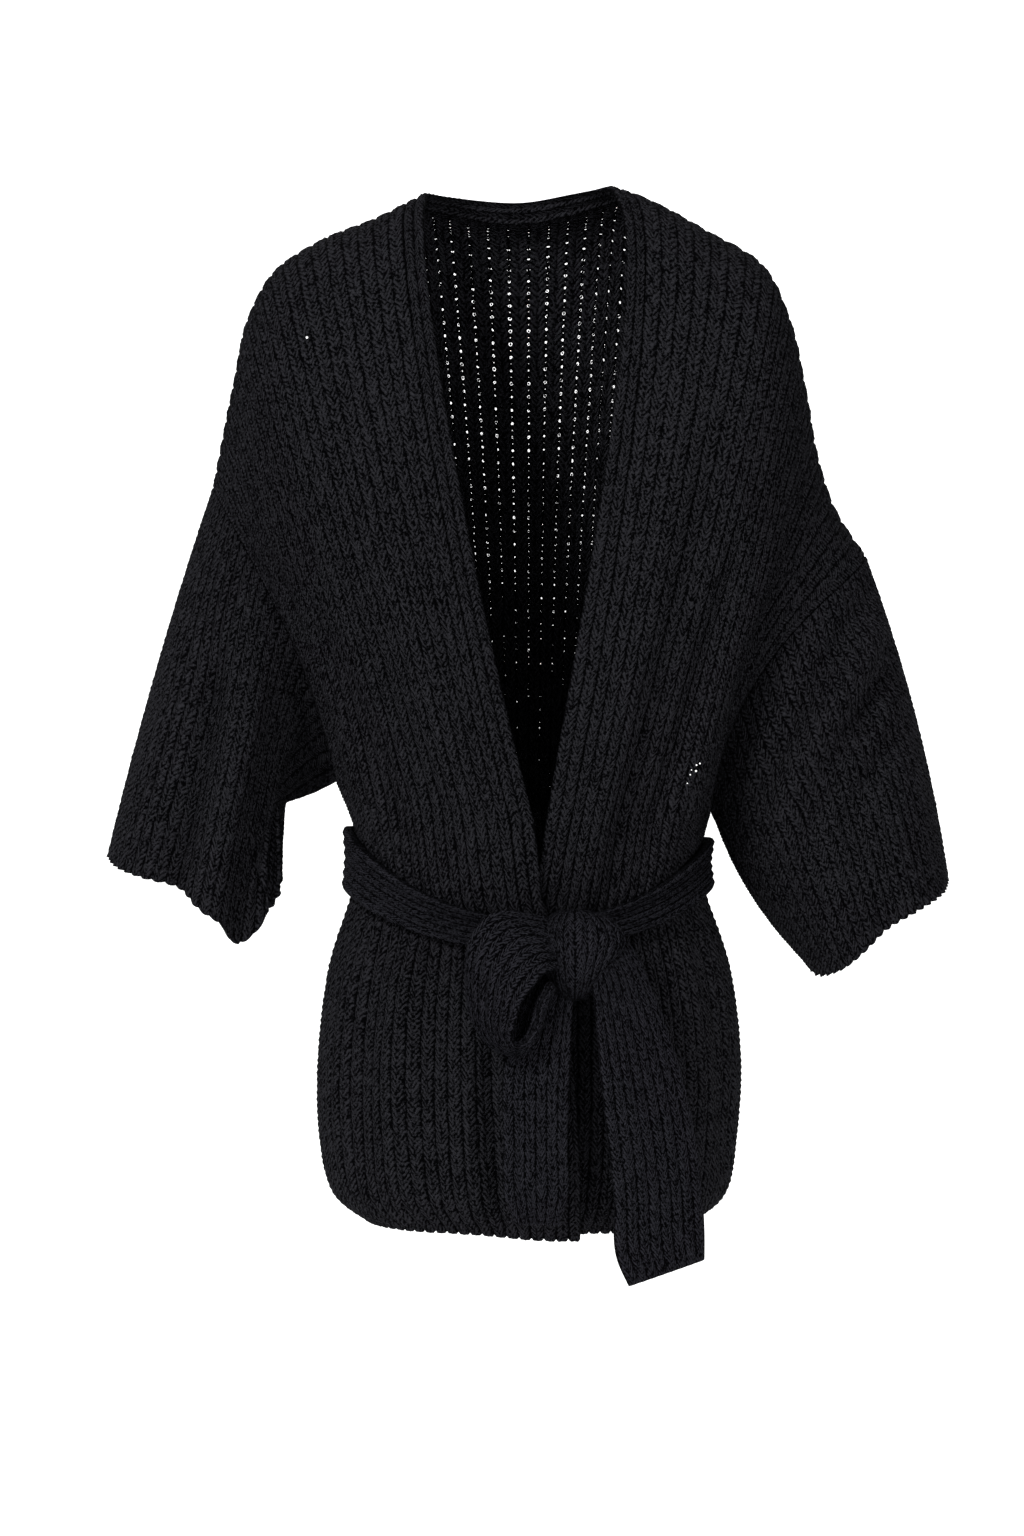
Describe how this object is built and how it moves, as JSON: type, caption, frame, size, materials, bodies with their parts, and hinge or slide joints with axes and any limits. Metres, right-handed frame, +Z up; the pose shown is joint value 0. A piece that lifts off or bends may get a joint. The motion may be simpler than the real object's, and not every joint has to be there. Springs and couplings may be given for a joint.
{
  "type": "belted cardigan",
  "caption": "Chunky rib-knit wrap cardigan with dropped shoulders, wide elbow-length sleeves and a knotted knit belt, in its worn form.",
  "frame": {"origin": "between the wearer's shoulders, at the height of the shoulder line beside the neck and near the middle of the neck opening", "axes": "+Z up, -Y the way the wearer faces, +X the wearer's left"},
  "size_m": [0.6315, 0.271, 0.8097],
  "materials": {
    "knit": "matte charcoal-black wool-like yarn in a chunky rib",
    "belt_knit": "matte charcoal-black wool-like yarn in a flat ribbed tube"
  },
  "bodies": {
    "root": {"back": "knit", "front_right": "knit", "front_left": "knit", "front_band": "knit", "sleeve_right": "knit", "sleeve_left": "knit", "belt_waist": "belt_knit", "belt_knot": "belt_knit", "belt_loop": "belt_knit", "belt_tail_right": "belt_knit", "belt_tail_left": "belt_knit"}
  },
  "joints": []
}
